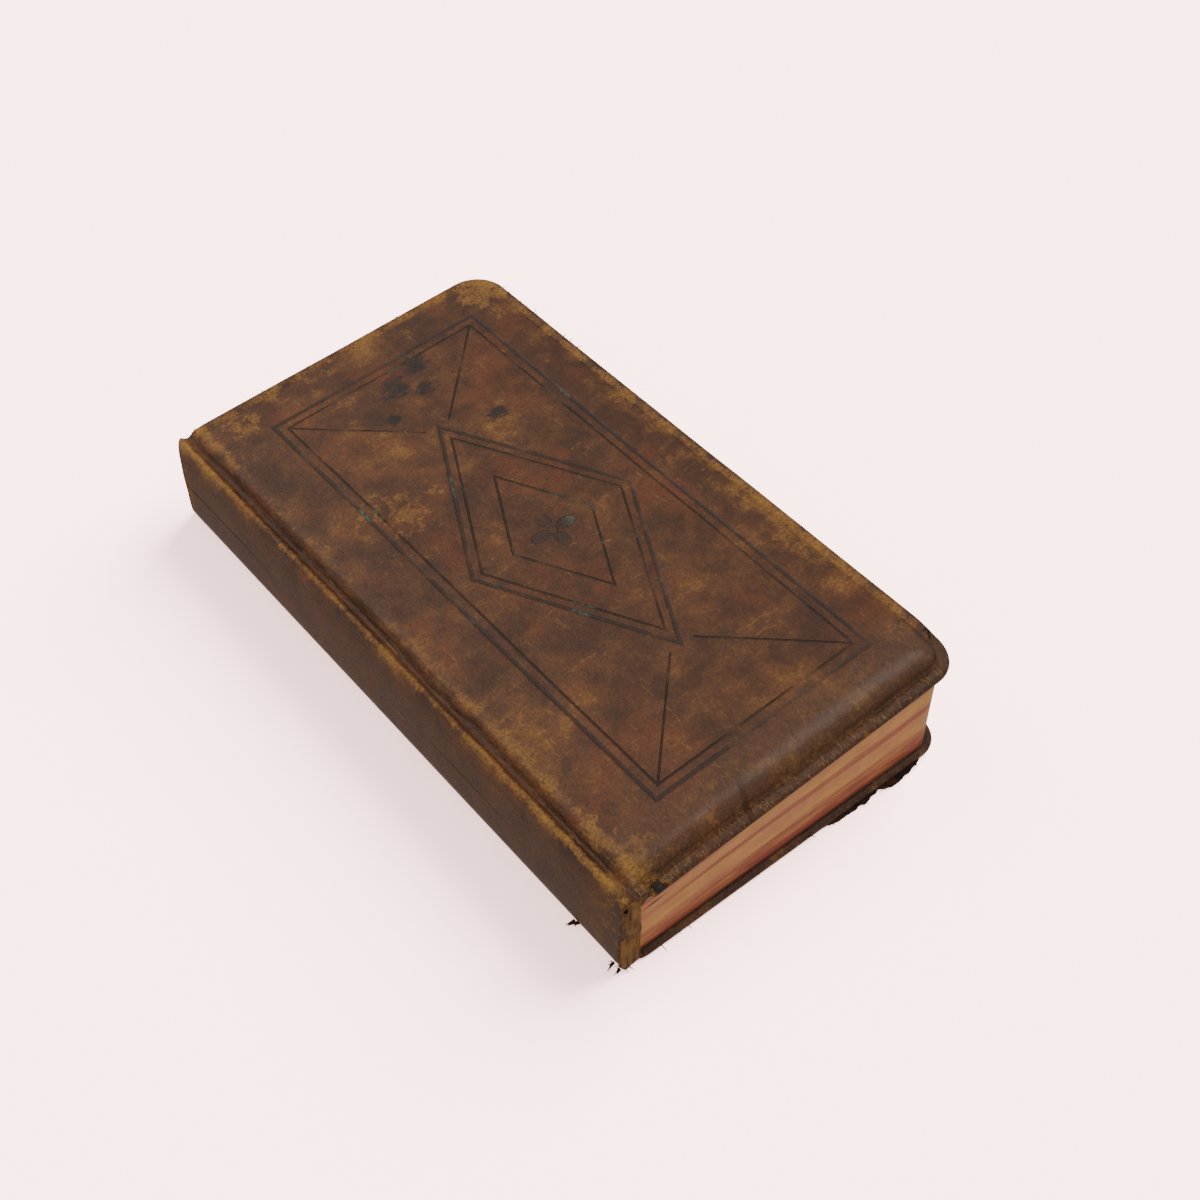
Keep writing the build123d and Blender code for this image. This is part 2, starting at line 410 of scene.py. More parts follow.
def curve_through(points):
    """Smooth line through points, as evenly spaced samples with unit directions."""
    count = 500
    p = np.array(points, float)
    p = np.vstack([2 * p[0] - p[1], p, 2 * p[-1] - p[-2]])
    samples = []
    for k in range(1, len(p) - 2):
        t = np.linspace(0, 1, 40, endpoint=False)[:, None]
        a, b, c, d = p[k - 1], p[k], p[k + 1], p[k + 2]
        square, cube = 2 * a - 5 * b + 4 * c - d, 3 * b - a - 3 * c + d
        samples.append(0.5 * (2 * b + (c - a) * t + square * t**2 + cube * t**3))
    line = np.vstack([*samples, p[-2:-1]])
    far = np.append(0, np.cumsum(np.linalg.norm(np.diff(line, axis=0), axis=1)))
    even = np.linspace(0, far[-1], count)
    line = np.column_stack([np.interp(even, far, line[:, k]) for k in range(line.shape[1])])
    way = np.gradient(line, even, axis=0)
    return even, line, way / np.linalg.norm(way, axis=1)[:, None]


def inner_plane(x):
    """Height of the front cover's inner face at x."""
    return PASTE_LOW.z + SLOPE * (x - PASTE_LOW.x)


def eased_head(points):
    """Points with the head of the spine rounded off towards its outside."""
    away = np.clip(1 - (points[:, 0] - SPINE_X) / HEAD_REACH, 0, 1)
    points[:, 1] -= HEAD_DROP * away**3 * smoothstep(HALF_H - 16, HALF_H, points[:, 1])
    return points


class Skin:
    """Outer leather of one cover with its half of the spine, wrapped round a cover's edges.

    Across is measured along the leather from the middle of the spine; it equals x on the cover.
    """

    def __init__(self, profile, facing, corners, thick, side, rim, crown, dome):
        self.facing, self.corners = facing, corners
        self.thick, self.side, self.rim, self.crown, self.dome = thick, side, rim, crown, dome
        far, line, way = curve_through(profile)
        flat = line[-1]
        far = far - far[-1] + flat[0]
        count = 60
        beyond = np.linspace(0, HALF_W - flat[0], count)[1:]
        run = way[-1] / way[-1][0]
        self.across = np.concatenate([far, flat[0] + beyond])
        self.line = np.vstack([line, flat + beyond[:, None] * run])
        self.way = np.vstack([way, np.repeat(way[-1:], count - 1, axis=0)])
        self.start = far[0]

    def base(self, across):
        """Points and directions of the unpadded outside at positions across."""
        point = np.column_stack([np.interp(across, self.across, self.line[:, k]) for k in (0, 1)])
        way = np.column_stack([np.interp(across, self.across, self.way[:, k]) for k in (0, 1)])
        way /= np.linalg.norm(way, axis=1)[:, None]
        normal = self.facing * np.column_stack([-way[:, 1], way[:, 0]])
        return point, way, normal

    def edge(self, across, y):
        """Distance in from the free edge and the outward direction across and along."""
        radius = np.where(y > 0, self.corners[1], self.corners[0]) - self.thick / 2
        qx = across - (HALF_W - self.thick / 2 - radius)
        qy = np.abs(y) - (HALF_H - self.thick / 2 - radius)
        corner = np.hypot(np.maximum(qx, 0), np.maximum(qy, 0))
        inside = radius - corner - np.minimum(np.maximum(qx, qy), 0)
        both = (qx > 0) & (qy > 0)
        length = np.maximum(corner, 1e-9)
        out_x = np.where(both, qx / length, np.where(qx > qy, 1.0, 0.0))
        out_y = np.where(both, qy / length, np.where(qx > qy, 0.0, 1.0)) * np.sign(y)
        return inside, out_x, out_y

    def lip(self, across, y):
        """Thickness of the cover at its edge: thin along the tail, nearly full elsewhere."""
        full = smoothstep(1.0, 15.0, y + HALF_H)
        corner = smoothstep(HALF_W - 24.0, HALF_W - 1.0, across) * (1 - full)
        padded = self.side > self.thick
        return self.thick + (self.side - self.thick) * full + 0.9 * corner * padded

    def height(self, inside, across, y):
        """Outside of the cover above its inner face, by distance in from the edge."""
        lip = self.lip(across, y)
        u = np.clip((inside - self.rim) / self.dome, 0, 1)
        pad = np.sqrt(np.maximum(1 - (1 - u) ** 2, 0))
        crease = RIM_CREASE * np.exp(-(((inside - self.rim) / 0.5) ** 2))
        rolled = RIM_ROLL * np.exp(-(((inside - 0.8) / 0.6) ** 2))
        return lip + (self.crown - lip) * pad + (rolled - crease) * (self.crown > self.thick)

    def shape(self, across, y):
        """Points of the leather at positions across and y, which run past the free edges."""
        inside, out_x, out_y = self.edge(across, y)
        past = np.maximum(-inside, 0)
        hold = across - out_x * past
        point, way, normal = self.base(hold)
        cover_x = np.where(hold > self.start + SPINE_RUN, hold, -HALF_W * 2)
        on_cover = smoothstep(SPINE_X + 3.2, SPINE_X + 8.2, cover_x)
        radius = BARE_FOLD + (self.thick / 2 - BARE_FOLD) * on_cover
        depth = BARE_FOLD + (self.lip(hold, y) / 2 - BARE_FOLD) * on_cover
        most = math.pi / 2 * (1 + on_cover)
        angle = np.minimum(past / radius, most)
        straight = np.clip(past - radius * most, 0, CAP + (TURN_IN - CAP) * on_cover)
        outward = radius * np.sin(angle) + straight * np.cos(most)
        drop = depth * (1 - np.cos(angle)) + straight * np.sin(most)
        drop += (self.crown - self.height(np.maximum(inside, 0), hold, y)) * on_cover
        height_y = y - out_y * past + out_y * outward
        flat = point - normal * drop[:, None] + way * (out_x * outward)[:, None]
        points = eased_head(np.column_stack([flat[:, 0], height_y, flat[:, 1]]))
        return points, inside, normal, on_cover


def grid_faces(rows, columns, flip, keep=None):
    """Quads of a grid of points laid out row by row."""
    a = (np.arange(rows - 1)[:, None] * columns + np.arange(columns - 1)).ravel()
    quads = np.column_stack([a, a + 1, a + columns + 1, a + columns])
    if flip:
        quads = quads[:, ::-1]
    return quads if keep is None else quads[keep[quads].any(axis=1)]


# ---- finishes ----


def tooling(f, x, y):
    """How deep the blind tooling of the front cover is, from 0 to 1."""
    cx = x - (HALF_W + SPINE_X) / 2 - 3.6
    ax, ay = abs(cx), abs(y)

    def line(distance, at, width=0.80):
        return distance.near(at, width)

    frame_lines = (ax - 31.0).most(ay - 74.0)
    outer = line(frame_lines, 0.0).most(line(frame_lines, -2.6, 0.4))
    inside = frame_lines.rise(-2.0, -2.8)
    lozenge = ax * 0.889 + ay * 0.457
    diamond = line(lozenge, 21.0).most(line(lozenge, 18.6, 0.4)).most(line(lozenge, 10.5, 0.4))
    mitre = line(ax - ay + 43.0, 0.0, 0.5) * inside * lozenge.rise(24.0, 24.6)
    flower = f.join(cx, y, 0.0)
    reach = f.add("ShaderNodeVectorMath", {"operation": "LENGTH"}, {0: flower}).out("Value")
    turn = y.math("ARCTAN2", y, cx)
    petal = abs((turn * 2.0).cosine())
    petals = (petal * 6.4 - reach).rise(0.0, 0.5) * reach.rise(0.9, 1.3)
    return outer.most(diamond).most(mitre).most(petals * 0.8)


# Places on the front cover as ((x, y), size), in millimetres.
INK_STAINS = (
    ((4.0, 65.0), 5.0), ((12.0, 68.5), 4.2), ((18.0, 40.5), 3.6), ((9.0, 60.0), 3.0), ((-3.0, 56.0), 2.4),
)
WORN_PLACES = (
    ((-40.5, -84.0), 7.0), ((-41.5, -84.5), 9.0), ((-43.5, -70.0), 5.0), ((-33.0, 78.0), 6.0),
    ((-20.0, 28.0), 9.0), ((42.0, 80.0), 9.0),
)
NOTCH = ((-38.5, -88.3), 1.7)


def leather_finish(name, colours, tooled):
    """Worn dyed leather: mottled dye, rubbed edges, creased joint with painted shade in its groove, painted
    highlight where the front cover rolls down at the tail, stains, grain and tooling.
    """
    f = Finish(name, Roughness=0.5, Specular_IOR_Level=0.32, Coat_Roughness=0.27)
    place = f.place()
    x, y, z = f.split(place)
    inside = f.value("inside")
    waver = f.noise(place, 5.0, 4, 0.6, 0.0, (31, 2, 8))
    across = f.value("across") + (waver - 0.5) * 3.2
    broad = f.noise(place, 27, 4)
    clouds = f.noise(place, 8.5, 9, 0.70, 0.3, (40, 7, 3))
    scuff = f.noise(place, 4.6, 9, 0.72, 0.3, (13, 90, 1))
    speckle = f.noise(place, 0.8, 4, 0.75, 0.0, (5, 5, 50))
    base = f.mix(colours.dark, colours.brown, (broad * 0.4 + clouds * 0.6).rise(0.38, 0.66))
    russet = f.noise(place, 15, 7, 0.62, 0.2, (70, 20, 9)).rise(0.50, 0.66) * 0.50
    base = f.mix(base, colours.russet, russet)
    ridge = across.near(0.2, 2.4).most(across.near(7.4, 2.4) * 0.45) * z.rise(18.0, 23.0)
    ends = abs(y).rise(40.0, 89.0)
    tail = y.rise(-82.0, -87.0)
    edge = (inside.rise(15.0, 0.0) * 0.055 + inside.near(1.6, 1.8) * 0.06) * (1 - tail * 0.85)
    rubbed = broad * 0.24 + clouds * 0.34 + scuff * 0.27 + speckle * 0.15 + edge
    rubbed = rubbed + ridge * (0.09 + ends * 0.13)
    if tooled:
        for at, size in WORN_PLACES:
            rubbed = rubbed + f.spot(x, y, at, size, scuff) * 0.085
    grains = 0.35 + speckle.rise(0.36, 0.58) * 0.65
    base = f.mix(base, colours.ochre, rubbed.rise(0.525, 0.635) * grains)
    worn = (rubbed + edge * 0.5).rise(0.64, 0.78)
    base = f.mix(base, colours.tan, worn * (0.4 + speckle.rise(0.40, 0.60) * 0.6))
    groove = across.near(3.8, 2.4) * z.rise(19.0, 23.0)
    # Painted shade in the joint's groove; along the tail the leather is also darkened in noisy patches.
    base = f.mix(base, colours.dark, (groove * 0.75).most(tail * scuff.rise(0.62, 0.45) * 0.8))
    embers = groove * f.noise(place, 4.5, 5, 0.6, 0.0, (2, 44, 6)).rise(0.54, 0.66)
    base = f.mix(base, colours.russet, embers * 0.8)
    smear = f.noise(f.stretch(place, (0.6, 1.4, 1.0)), 3.0, 7, 0.72, 0.4, (7, 7, 1))
    stain = f.noise(place, 9, 4, 0.6, 0.3, (3, 33, 21)).rise(0.68, 0.76) * scuff.rise(0.42, 0.6)
    if tooled:
        for at, size in INK_STAINS:
            stain = stain.most(f.spot(x, y, at, size, smear))
    base = f.mix(base, colours.ink, stain * 0.85)
    for by in ((0.9, 0.10, 0.9), (0.14, 0.8, 0.9)):
        scratch = f.noise(f.stretch(place, by), 0.9, 2, 0.5, 1.2).rise(0.66, 0.73)
        scratch = scratch * clouds.rise(0.44, 0.56)
        base = f.mix(base, colours.tan, scratch * 0.34)
    spine = across.rise(-1.5, -4.0)
    base = f.mix(base, f.mix(colours.dark, colours.brown, 0.22 + clouds * 0.42), spine * 0.5)
    fibres = f.noise(f.stretch(place, (2.6, 0.55, 0.8)), 1.0, 4, 0.7, 0.3, (4, 2, 2))
    fibres = fibres.rise(0.54, 0.64) * tail * inside.rise(4.5, 2.0) * inside.rise(-3.6, -1.4)
    base = f.mix(base, colours.tan, fibres * 0.5)
    grain = f.cells(place, 0.66, 0.35)
    pores = f.noise(place, 0.40, 3, 0.6)
    normal = f.bump(grain * 0.65 + pores * 0.35, 0.13)
    crumple = f.noise(f.stretch(place, (1.15, 0.45, 1.0)), 1.3, 6, 0.68, 0.5)
    roll = inside.near(8.0, 9.0) * y.rise(-66.0, -80.0) * across.rise(5.0, 12.0)
    # Painted highlight where the front cover rolls down at the tail: lightened towards brown, with ochre
    # patches.
    base = f.mix(base, colours.brown, roll * 0.5)
    base = f.mix(base, colours.ochre, roll * scuff.rise(0.48, 0.66) * grains * 0.5)
    creased = f.noise(f.stretch(place, (1.6, 0.16, 1.0)), 1.6, 4, 0.6, 0.4)
    normal = f.bump(creased * groove.most(ridge * 0.6), 0.5, normal)
    normal = f.bump(crumple * (roll * 0.9 + 0.10 - spine * 0.05), 0.95, normal)
    rough = 0.50 + worn * 0.20 + rubbed.rise(0.50, 0.62) * 0.12 - roll * 0.12 + spine * 0.12
    rough = rough + (speckle - 0.5) * 0.25
    if tooled:
        uneven = f.noise(place, 11, 3, 0.5, 0.0, (9, 1, 77))
        lines = tooling(f, x, y) * uneven.rise(0.20, 0.55)
        base = f.mix(base, colours.tooled, lines * 0.88)
        residue = lines * f.noise(place, 16, 4, 0.6, 0.0, (61, 4, 2)).rise(0.56, 0.64)
        base = f.mix(base, colours.verdigris, residue * speckle.rise(0.42, 0.55) * 0.7)
        normal = f.bump(1 - lines, 0.40, normal)
        notch = f.spot(x, y, *NOTCH, smear)
        base = f.mix(base, colours.ink, notch * 0.9)
        crease = abs(x + 12.0 - (y + 84.0) * 0.35 + (waver - 0.5) * 2.0).rise(0.9, 0.0)
        crease = crease * y.rise(-80.0, -83.0)
        normal = f.bump(1 - crease.most(notch), 0.6, normal)
        base = f.mix(base, colours.dark, crease * 0.6)
    shade = 1.12 + (pores - 0.5) * 0.55 - grain * 0.42
    f.set(Base_Color=f.tint(base, shade), Roughness=rough, Normal=normal, Coat_Weight=roll * 0.32)
    return f.material


def end_finish(colours):
    """Turned-in leather at the ends of the spine: tan, folded and cracked, darker in the hollows of the
    folds.
    """
    f = Finish("spine_end_leather", Roughness=0.7, Specular_IOR_Level=0.25)
    place = f.place()
    folds = f.noise(f.stretch(place, (1.5, 0.8, 0.16)), 1.3, 5, 0.65, 0.4)
    blotch = f.noise(place, 4.0, 6, 0.68, 0.2, (6, 1, 9))
    speckle = f.noise(place, 0.7, 4, 0.75)
    base = f.mix(colours.brown, colours.ochre, (folds * 0.6 + blotch * 0.4).rise(0.40, 0.58))
    base = f.mix(base, colours.tan, (blotch * 0.6 + speckle * 0.4).rise(0.50, 0.64) * 0.7)
    # Darker in the hollows of the folds, in the stain colour.
    base = f.mix(base, colours.ink, folds.rise(0.42, 0.34) * 0.8)
    normal = f.bump(speckle * 0.3 + folds * 0.7, 0.5)
    f.set(Base_Color=base, Normal=normal, Roughness=0.62 + speckle * 0.2)
    return f.material


def fray_finish(colours):
    """Loose fibres and scraps of dark leather."""
    f = Finish("frayed_leather", Roughness=0.85, Specular_IOR_Level=0.2)
    blotch = f.noise(f.place(), 2.2, 5, 0.7)
    base = f.mix(colours.ink, colours.dark, blotch.rise(0.46, 0.62))
    base = f.mix(base, colours.ochre, blotch.rise(0.64, 0.74) * 0.5)
    f.set(Base_Color=base, Normal=f.bump(blotch, 0.2))
    return f.material


def page_finish(colours):
    """Edges of the leaves: fine strata with a worn copper finish, redder low down, with painted shade along
    the top and bottom edges and in a slit near the spine.
    """
    f = Finish("page_edges", Roughness=0.5, Specular_IOR_Level=0.3)
    place = f.cad_place()
    x, y, z = f.split(place)
    swell = (z - 3.0) / (18.2 + (x - SPINE_X - 6.6) * SLOPE)
    level = swell * 21.0 + (f.noise(place, 30, 2, 0.5) - 0.5) * 2.4
    streak = f.noise(f.join(x * 0.06, y * 0.06, level), 1.0, 5, 0.7)
    wide = f.noise(f.join(x * 0.03, y * 0.03, level), 3.4, 3, 0.6, 0.0, (3, 9, 5))
    fine = f.noise(f.join(x * 0.02, y * 0.02, level), 0.16, 2, 0.6)
    dirt = f.noise(place, 5.0, 5, 0.65, 0.0, (8, 1, 4))
    low = (swell + (streak - 0.5) * 0.5).rise(0.42, 0.02)
    base = f.mix(colours.gilt, colours.rose, low * 0.9)
    base = f.mix(base, colours.rose, wide.rise(0.48, 0.36) * 0.55)
    base = f.mix(base, colours.streak, (streak * 0.55 + wide * 0.45).rise(0.48, 0.60) * (0.9 - low * 0.6))
    base = f.mix(base, (0.16, 0.040, 0.016), (streak * 0.55 + fine * 0.45).rise(0.44, 0.33) * 0.7)
    # Painted shade along the bottom of the page edges, above the back cover, and along the top, under the
    # front cover's lip.
    base = f.mix(base, (0.07, 0.022, 0.012), swell.rise(0.07, 0.0).most(swell.rise(0.955, 1.0)) * 0.8)
    base = f.tint(base, 0.72 + dirt * 0.50)
    # Painted shade of a narrow slit between the leaves near the spine.
    slit = abs(swell - 0.80 + (streak - 0.5) * 0.06).rise(0.030, 0.0) * x.near(SPINE_X + 9.5, 5.0)
    base = f.mix(base, (0.03, 0.010, 0.008), slit * 0.9)
    normal = f.bump(fine * 0.55 + streak * 0.45, 0.20)
    f.set(Base_Color=base, Normal=normal, Roughness=0.44 + streak * 0.25)
    return f.material


def paper_finish(colours):
    """Endpaper with faint fibres, foxing and browned edges."""
    f = Finish("endpaper_paper", Roughness=0.85, Specular_IOR_Level=0.2)
    place = f.cad_place()
    fibres = f.noise(place, 0.6, 5, 0.7, 0.6)
    blotch = f.noise(place, 18, 5, 0.6)
    spots = f.noise(place, 3.0, 3, 0.5).rise(0.66, 0.74)
    base = f.mix(colours.paper, (0.40, 0.24, 0.10), blotch.rise(0.42, 0.68) * 0.6 + spots * 0.4)
    x, y, z = f.split(place)
    cut = abs(y).rise(87.3, 87.6).most(x.rise(46.6, 46.9)) * z.rise(27.2, 27.0)
    base = f.mix(base, (0.11, 0.028, 0.014), cut)
    f.set(Base_Color=f.tint(base, 0.9 + fibres * 0.2), Normal=f.bump(fibres, 0.03))
    return f.material


def board_finish():
    """Grey-brown pressed board with flecks."""
    f = Finish("pressed_board", Roughness=0.9, Specular_IOR_Level=0.2)
    place = f.cad_place()
    fibres = f.noise(place, 0.8, 6, 0.7, 1.0)
    base = f.mix((0.24, 0.17, 0.10), (0.42, 0.33, 0.21), fibres.rise(0.35, 0.65))
    f.set(Base_Color=base, Normal=f.bump(fibres, 0.08))
    return f.material


def cloth_finish():
    """Open-weave binder's cloth stiffened with glue."""
    f = Finish("mull_cloth", Roughness=0.9, Specular_IOR_Level=0.15)
    place = f.cad_place()
    x, y, _ = f.split(place)
    weave = (x * 7.0).sine().most((y * 7.0).sine())
    fibres = f.noise(place, 0.5, 4, 0.6)
    base = f.mix((0.30, 0.24, 0.15), (0.55, 0.47, 0.33), weave.rise(-0.4, 0.8) * 0.7 + fibres * 0.3)
    f.set(Base_Color=base, Normal=f.bump(weave, 0.08))
    return f.material


def wadding_finish():
    """Matted cotton wadding."""
    f = Finish("cotton_wadding", Roughness=0.95, Specular_IOR_Level=0.1)
    place = f.place()
    fluff = f.noise(place, 2.5, 8, 0.75, 1.5)
    base = f.mix((0.45, 0.40, 0.32), (0.72, 0.68, 0.58), fluff.rise(0.3, 0.7))
    f.set(Base_Color=base, Normal=f.bump(fluff, 0.5))
    return f.material


def finishes():
    """The materials, made once."""
    colours = bpy.context.scene.book_colours
    makers = {
        "front_leather": lambda: leather_finish("front_leather", colours, True),
        "back_leather": lambda: leather_finish("back_leather", colours, False),
        "page_edges": lambda: page_finish(colours),
        "endpaper_paper": lambda: paper_finish(colours),
        "pressed_board": board_finish,
        "mull_cloth": cloth_finish,
        "cotton_wadding": wadding_finish,
        "spine_end_leather": lambda: end_finish(colours),
        "frayed_leather": lambda: fray_finish(colours),
    }
    return {name: bpy.data.materials.get(name) or make() for name, make in makers.items()}


# ---- pieces ----

# Outside of the spine and joint as (distance in from the spine, height), in millimetres.
FRONT_PROFILE = [
    (0.0, 13.05), (0.0, 17.0), (0.1, 20.0), (0.35, 22.4), (0.75, 24.2), (1.25, 25.4), (1.95, 25.95),
    (2.7, 25.7), (3.4, 24.95), (4.2, 24.55), (5.0, 24.9), (5.6, 25.9), (6.3, 26.75), (7.4, 27.2),
    (9.0, 27.42), (11.0, 27.55),
]
BACK_PROFILE = [
    (0.0, 13.05), (0.0, 9.5), (0.08, 6.5), (0.25, 4.0), (0.6, 2.2), (1.1, 0.9), (1.7, 0.25), (2.4, 0.1),
    (3.2, 0.55), (4.1, 1.05), (5.0, 0.75), (5.8, 0.2), (6.8, 0.03), (8.5, 0.0), (11.0, 0.0),
]


def shifted(profile, lift=None):
    """Profile moved into the frame, its last points laid on the cover's crown if lift is given."""
    points = []
    for x, z in profile:
        if lift is not None and x >= 7.0:
            z = inner_plane(x + SPINE_X) + lift - 0.35 * max(0.0, (9.0 - x) / 2.0) ** 2
        points.append((x + SPINE_X, z))
    return points


def cover_skin(name, skin, fine, material, sag, seed):
    """Leather of one cover and half the spine as one mesh."""
    wrap = math.pi * skin.thick / 2
    edge_x, edge_y = HALF_W - skin.thick / 2, HALF_H - skin.thick / 2
    joint = SPINE_X + JOINT_END
    columns = spaced([
        (skin.start, joint, 0.42), (joint, edge_x - 14, fine), (edge_x - 14, edge_x - 4, 0.55),
        (edge_x - 4, edge_x, 0.3), (edge_x, edge_x + wrap, 0.4),
        (edge_x + wrap, edge_x + wrap + TURN_IN, 1.0),
    ])
    side = spaced([
        (0, edge_y - 14, fine), (edge_y - 14, edge_y - 4, 0.6), (edge_y - 4, edge_y, 0.3),
        (edge_y, edge_y + wrap, 0.4), (edge_y + wrap, edge_y + wrap + TURN_IN, 1.0),
    ])
    rows = np.concatenate([-side[:0:-1], side])
    across, y = (g.ravel() for g in np.meshgrid(columns, rows))
    points, inside, normal, on_cover = skin.shape(across, y)
    keep = inside > -(wrap + TURN_IN + 0.5)
    settled = smoothstep(-2.0, 1.0, inside)
    low = smoothstep(SPINE_X + 1.0, SPINE_X + 9.0, across)
    where = np.column_stack([points[:, 0], points[:, 1], np.full(len(across), seed * 10.0)])
    sway = wander(where, 34, seed) * sag * (0.35 + 0.65 * low) * settled
    fold = smoothstep(1.6, 0.0, np.abs(across - SPINE_X - 4.4)) * wander(along(y), 9, seed + 5)
    crimp = wander(along(across, inside * 0.5), 2.6, seed + 9) * smoothstep(6.0, 1.0, inside)
    crimp = crimp * smoothstep(-80.0, -86.0, y) * settled
    push = sway + (0.28 * fold * settled + 0.20 * crimp * on_cover) * (skin.facing > 0)
    points[:, 0] += normal[:, 0] * push
    points[:, 2] += normal[:, 1] * push
    quads = grid_faces(len(rows), len(columns), skin.facing < 0, keep)
    used = np.unique(quads)
    index = np.zeros(len(points), int)
    index[used] = np.arange(len(used))
    values = {"inside": inside[used], "across": across[used] - SPINE_X}
    return make_mesh(name, points[used], index[quads], material, values)


class BOOK_OT_covering(bpy.types.Operator):
    """Makes the leather of both covers and the spine, with turned-in edges"""

    bl_idname = "book.covering"
    bl_label = "Leather covering"

    def execute(self, context):
        sizes = context.scene.book_sizes
        made = finishes()
        corners = (sizes.tail_corner / MM, sizes.head_corner / MM)
        sag, lip, side = sizes.sag / MM, sizes.lip / MM, sizes.side / MM
        rim, dome, crown, thin = (
            size / MM for size in (sizes.rim, sizes.dome, sizes.crown, sizes.back)
        )
        front = Skin(shifted(FRONT_PROFILE, crown), 1, corners, lip, side, rim, crown, dome)
        back = Skin(shifted(BACK_PROFILE), -1, corners, thin, thin, rim, thin, dome)
        skins = (
            ("front_cover_leather", front, 0.8, "front_leather", "front_cover", "front_joint", sag),
            ("back_cover_leather", back, 1.4, "back_leather", "back_cover", "back_joint", 0.0),
        )
        for seed, (name, skin, fine, material, body, joint, wave) in enumerate(skins):
            piece = cover_skin(name, skin, fine, made[material], wave, 3 + seed)
            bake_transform(piece)
            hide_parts("spine_leather", f"{body.split('_')[0]}_leather")
        return {"FINISHED"}


class BOOK_OT_spine_ends(bpy.types.Operator):
    """Makes the folded leather that closes each end of the spine"""

    bl_idname = "book.spine_ends"
    bl_label = "Spine ends"

    def execute(self, context):
        top_x, top_z = zip(*FRONT_PROFILE)
        low_x, low_z = zip(*BACK_PROFILE)
        near, far, flat, turned = 0.12, 5.1, 22, 5
        columns = np.concatenate([np.linspace(near, far, flat), np.full(turned, far)])
        rows = np.linspace(0, 1, 70)
        u, t = (g.ravel() for g in np.meshgrid(np.arange(len(columns)), rows))
        x = columns[u.astype(int)]
        inward = np.maximum(u - flat + 1, 0) * 0.55
        ceiling = np.interp(x, top_x, top_z) - 0.10
        bottom = np.interp(x, low_x, low_z) + 0.10
        z = bottom + (ceiling - bottom) * t
        x = x + 0.30 * wander(along(z, 0.0, 3.0), 4.0, 31) * (x > 4.0)
        for seed, (name, side) in enumerate((("spine_tail_end", -1), ("spine_head_end", 1))):
            folds = wander(along(x, z * 0.18, 5.0 * seed), 1.2, 40 + seed)
            rim = smoothstep(0.0, 0.6, x - near) * smoothstep(0, 0.04, t)
            rim = rim * smoothstep(0, 0.04, 1 - t)
            out = HALF_H - 0.60 + rim * (0.30 + 0.34 * folds) - inward
            points = eased_head(np.column_stack([x + SPINE_X, side * out, z]))
            faces = grid_faces(len(rows), len(columns), side > 0)
            piece = make_mesh(name, points, faces, finishes()["spine_end_leather"])
            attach(piece, "book_block")
            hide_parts("spine_leather")
        return {"FINISHED"}


# Frayed edges: name, body, height of the edge (None on the front cover, which rises), and runs of
# tufts as (from, to, how many), in millimetres.
FRAYED_EDGES = (
    ("front_cover_frays", "front_cover", None, (
        ((48.2, 80.0), (48.2, 30.0), 90), ((36.0, 88.2), (-30.0, 88.2), 30),
        ((48.2, -72.0), (47.0, -84.0), 10),
    )),
    ("back_cover_frays", "back_cover", 1.2, (
        ((10.0, -88.3), (40.0, -88.3), 40), ((46.0, -85.0), (48.0, -80.0), 16),
        ((-40.0, -88.4), (10.0, -88.4), 16),
    )),
    ("spine_frays", "book_block", 1.0, (
        ((-48.4, -87.4), (-45.5, -87.8), 14), ((-48.6, -72.0), (-48.6, -73.5), 6),
        ((-48.6, -85.0), (-48.6, -88.0), 8),
    )),
)
TUFT_STEPS = 5


def tuft(chance, x, y, height, longest):
    """Points of one tuft: a strip that starts just inside the edge, tapers and curls."""
    z = chance.normal(0, 0.35)
    if height is None:
        z = inner_plane(x) + chance.uniform(2.6, 4.6)
    else:
        z = max(height + z, 0.25)
    way = np.array([x / HALF_W * (abs(x) > 44), y / HALF_H * (abs(y) > 80), 0.0])
    way = way / np.linalg.norm(way) + chance.normal(0, 0.45, 3)
    way[2] = abs(way[2]) * 0.5
    reach = longest * chance.uniform(0.25, 1.0) ** 1.6
    wide = chance.uniform(0.16, 0.50)
    aside = np.cross(way, (0, 0, 1.0))
    aside = aside / np.linalg.norm(aside) * wide + (0, 0, wide * 0.5)
    bend = chance.normal(0, 0.35, 3) * (1, 1, 0.4)
    points = []
    for step in np.linspace(0, 1, TUFT_STEPS):
        spot = np.array([x, y, z]) + (way * step + bend * step**2) * reach - way * 0.3
        spot[2] = max(spot[2], 0.12)
        points += [spot - aside * (1 - step * 0.85), spot + aside * (1 - step * 0.85)]
    return points


def torn_strip():
    """Points of the scrap of leather torn from under the back cover's tail, row by row."""
    length_steps, width_steps = 120, 9
    t, v = (g.ravel() for g in np.meshgrid(np.linspace(0, 1, length_steps), np.linspace(0, 1, width_steps)))
    x = 9.0 + 36.0 * t
    torn = 2.2 + 0.6 * wander(along(x), 9.0, 61) + 0.4 * wander(along(x), 1.3, 62)
    out = -1.6 + v * (torn * np.sin(math.pi * np.clip(t, 0.02, 0.98)) ** 0.5 + 1.6)
    curl = 0.35 + 0.5 * wander(along(x), 5.0, 63) * v + 0.15 * wander(along(x, v * 3), 1.1, 64)
    z = np.maximum(0.15 + (1.6 - v * 0.9) * curl, 0.10) + 0.45
    bend = smoothstep(38.0, 46.0, x) * 2.6
    return np.column_stack([x, -88.0 - out + bend, z]), grid_faces(width_steps, length_steps, True)


def fray_piece(name, points, faces, thickness):
    """Thin piece of frayed leather."""
    piece = make_mesh(name, points, faces, finishes()["frayed_leather"])
    piece.modifiers.new("thickness", "SOLIDIFY").thickness = thickness * MM
    return piece


